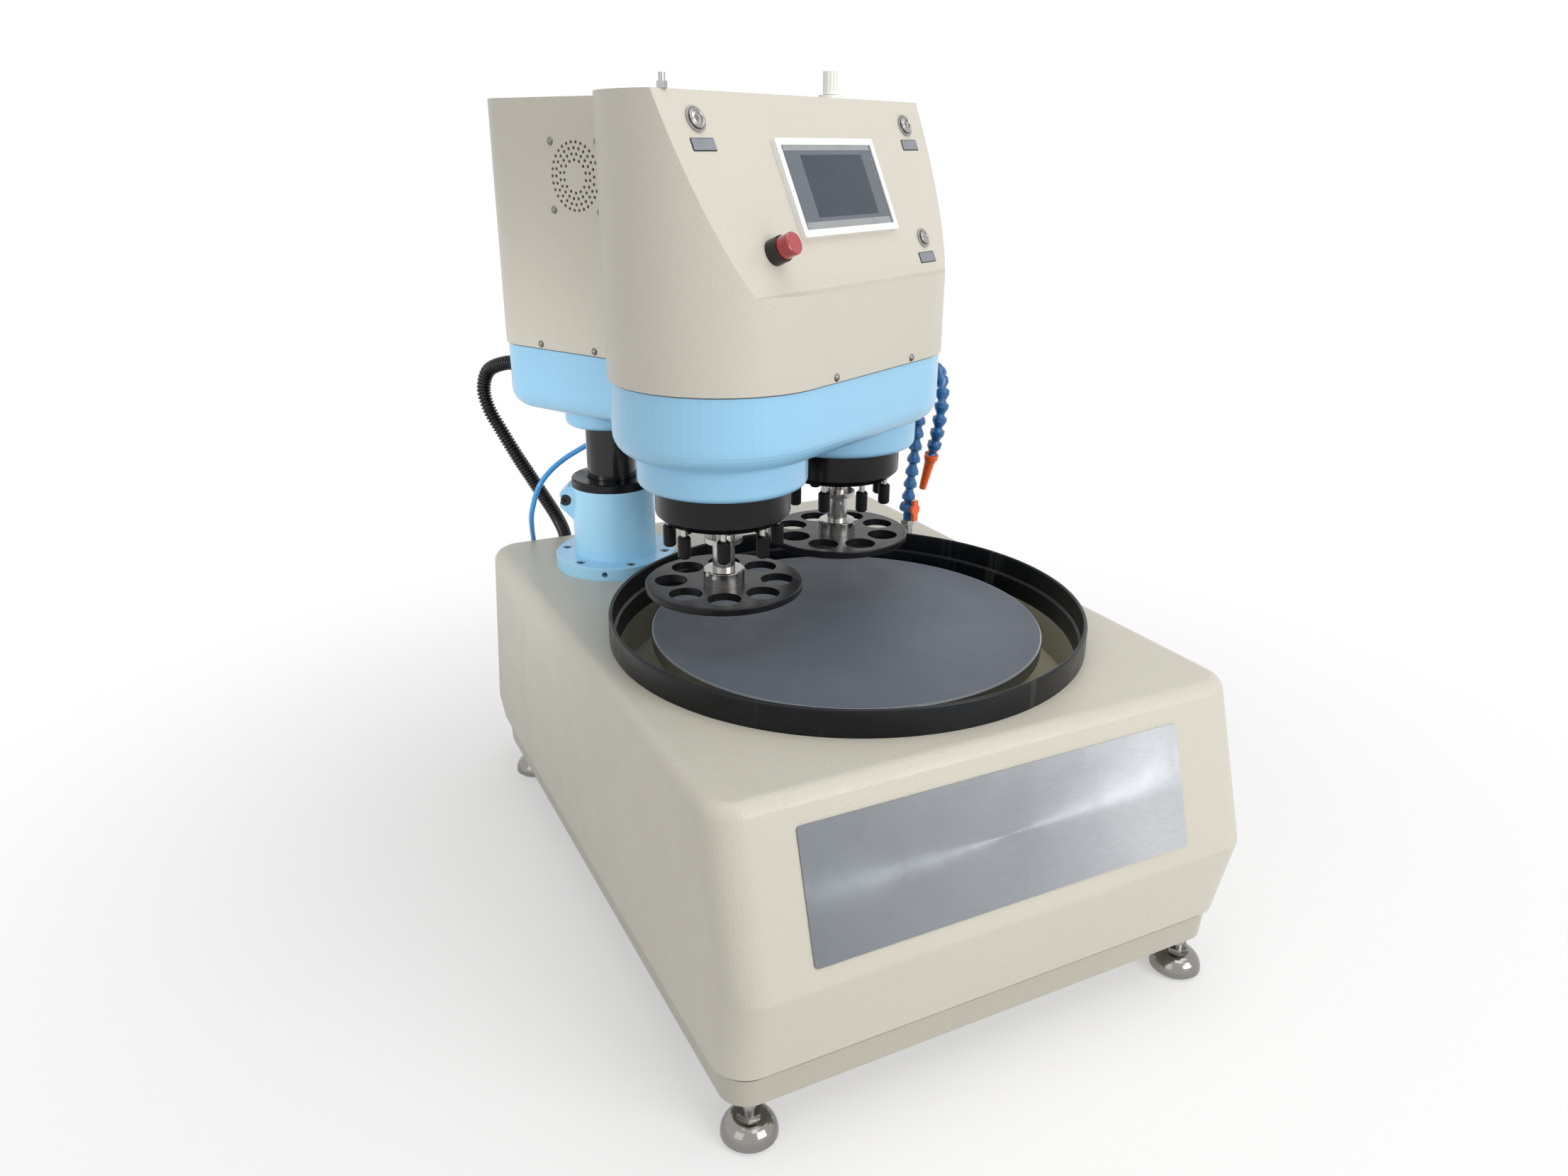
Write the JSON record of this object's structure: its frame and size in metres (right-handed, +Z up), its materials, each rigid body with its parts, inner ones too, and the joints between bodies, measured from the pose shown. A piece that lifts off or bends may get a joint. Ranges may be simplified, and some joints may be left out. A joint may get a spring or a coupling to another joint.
{
  "type": "metallographic polishing machine",
  "caption": "Benchtop metallographic polishing machine with a wide disc in a round bowl, a raised power head with screen and buttons, rotating specimen holders and a jointed coolant hose.",
  "frame": {"origin": "on the bench plane, in the middle of the machine's length and width", "axes": "+X to the operator's right, +Y to the rear, +Z up"},
  "size_m": [0.518, 0.7484, 0.811],
  "materials": {
    "aluminium": "machined",
    "base_paint": "orange-peel powder coat",
    "black_plastic": "fine grain",
    "blue_plastic": "moulded",
    "board": "coated",
    "bowl": "moulded",
    "cast": "machined",
    "copper_motor": "black enamel",
    "dark_steel": "blackened",
    "glass": "clear",
    "head_paint": "gloss",
    "orange_plastic": "moulded",
    "polished": "polished",
    "red_lens": "clear red",
    "rubber": "matt",
    "sheet": "grit",
    "steel": "fine brushed",
    "white_plastic": "moulded"
  },
  "bodies": {
    "base": {"base_cover": "base_paint", "base_plinth": "base_paint", "base_frame": "steel", "foot_pads": "polished", "foot_studs": "steel", "foot_nuts": "steel", "name_plate": "steel", "drain_bowl": "bowl", "splash_ring": "black_plastic", "bearing_housing": "cast", "platen_bearings": "steel", "platen_motor": "copper_motor", "drive_belt": "rubber", "base_fittings": "black_plastic", "column_flange": "head_paint", "column_tube": "head_paint", "column_screws": "dark_steel", "column_guide_ring": "black_plastic", "coolant_valve": "blue_plastic", "conduit_lower": "rubber", "air_tube_lower": "blue_plastic"},
    "platen": {"platen": "aluminium", "abrasive_sheet": "sheet", "platen_shaft": "steel", "platen_pulley": "aluminium"},
    "motor_shaft": {"motor_pulley": "steel"},
    "ram": {"lift_ram": "dark_steel", "conduit_upper": "rubber", "air_tube_upper": "blue_plastic"},
    "head": {"head_casting": "head_paint", "head_cover": "base_paint", "cover_screws": "steel", "spindle_motors": "copper_motor", "spindle_bearings": "steel", "control_board": "board", "fan_frame": "black_plastic", "screen_bezel": "white_plastic", "screen_glass": "glass", "button_rings": "steel", "label_plates": "steel", "lamp_collar": "black_plastic", "lamp_lens": "red_lens", "regulator_body": "white_plastic", "head_fittings": "dark_steel"},
    "fan_rotor": {"fan_rotor": "black_plastic"},
    "button_left": {"button_left": "polished"},
    "button_right": {"button_right": "polished"},
    "button_lit": {"button_lit": "polished"},
    "regulator_knob": {"regulator_knob": "white_plastic"},
    "spindle_left": {"pot_left": "black_plastic", "spindle_left": "steel", "holder_left": "dark_steel"},
    "spindle_right": {"pot_right": "black_plastic", "spindle_right": "steel", "holder_right": "dark_steel"},
    "plungers_left": {"plungers_left": "steel"},
    "plungers_right": {"plungers_right": "steel"},
    "valve_lever": {"valve_lever": "orange_plastic"},
    "hose": {"coolant_hose": "blue_plastic", "hose_nozzle": "orange_plastic"}
  },
  "joints": [
    {"name": "platen_spin", "type": "hinge", "parent": "base", "child": "platen", "pos_m": [0, -0.072, 0.294], "axis": [0, 0, 1], "continuous": true},
    {"name": "motor_spin", "type": "hinge", "parent": "base", "child": "motor_shaft", "pos_m": [0.01, 0.236, 0.112], "axis": [0, 0, 1], "continuous": true},
    {"name": "head_lift", "type": "slide", "parent": "base", "child": "ram", "axis": [0, 0, 1], "range_m": [-0.044, 0.025], "deforming": ["conduit_lower", "air_tube_lower"]},
    {"name": "head_swing", "type": "hinge", "parent": "ram", "child": "head", "pos_m": [-0.1415, 0.207, 0.5], "axis": [0, 0, -1], "range_deg": [0, 60], "deforming": ["conduit_upper", "air_tube_upper"]},
    {"name": "fan_spin", "type": "hinge", "parent": "head", "child": "fan_rotor", "pos_m": [-0.19502, 0.10249, 0.719], "axis": [0.8919, 0.4523, 0], "continuous": true},
    {"name": "button_left_press", "type": "slide", "parent": "head", "child": "button_left", "axis": [-0.4144, 0.817, -0.401], "range_m": [0, 0.002], "stiffness_N_per_m": 400},
    {"name": "button_right_press", "type": "slide", "parent": "head", "child": "button_right", "axis": [-0.4144, 0.817, -0.401], "range_m": [0, 0.002], "stiffness_N_per_m": 400},
    {"name": "button_lit_press", "type": "slide", "parent": "head", "child": "button_lit", "axis": [-0.4144, 0.817, -0.401], "range_m": [0, 0.002], "stiffness_N_per_m": 400},
    {"name": "regulator_turn", "type": "hinge", "parent": "head", "child": "regulator_knob", "pos_m": [0.03652, 0.04612, 0.8], "axis": [0, 0, 1], "range_deg": [-170, 170]},
    {"name": "spindle_left_spin", "type": "hinge", "parent": "head", "child": "spindle_left", "pos_m": [-0.11903, -0.04734, 0.44], "axis": [0, 0, 1], "continuous": true},
    {"name": "spindle_right_spin", "type": "hinge", "parent": "head", "child": "spindle_right", "pos_m": [0.05043, 0.0386, 0.44], "axis": [0, 0, 1], "continuous": true},
    {"name": "plungers_left_press", "type": "slide", "parent": "spindle_left", "child": "plungers_left", "axis": [0, 0, 1], "range_m": [-0.02, 0]},
    {"name": "plungers_right_press", "type": "slide", "parent": "spindle_right", "child": "plungers_right", "axis": [0, 0, 1], "range_m": [-0.02, 0]},
    {"name": "valve_turn", "type": "hinge", "parent": "base", "child": "valve_lever", "pos_m": [0.2019, 0.1341, 0.3411], "axis": [0.2588, -0.9659, 0], "range_deg": [0, 90]},
    {"name": "hose_swivel", "type": "hinge", "parent": "base", "child": "hose", "pos_m": [0.2019, 0.1341, 0.36], "axis": [0, 0, 1], "range_deg": [0, 40]}
  ],
  "couplings": [
    {"joint": "motor_spin", "follows": "platen_spin", "ratio": 2.4}
  ]
}
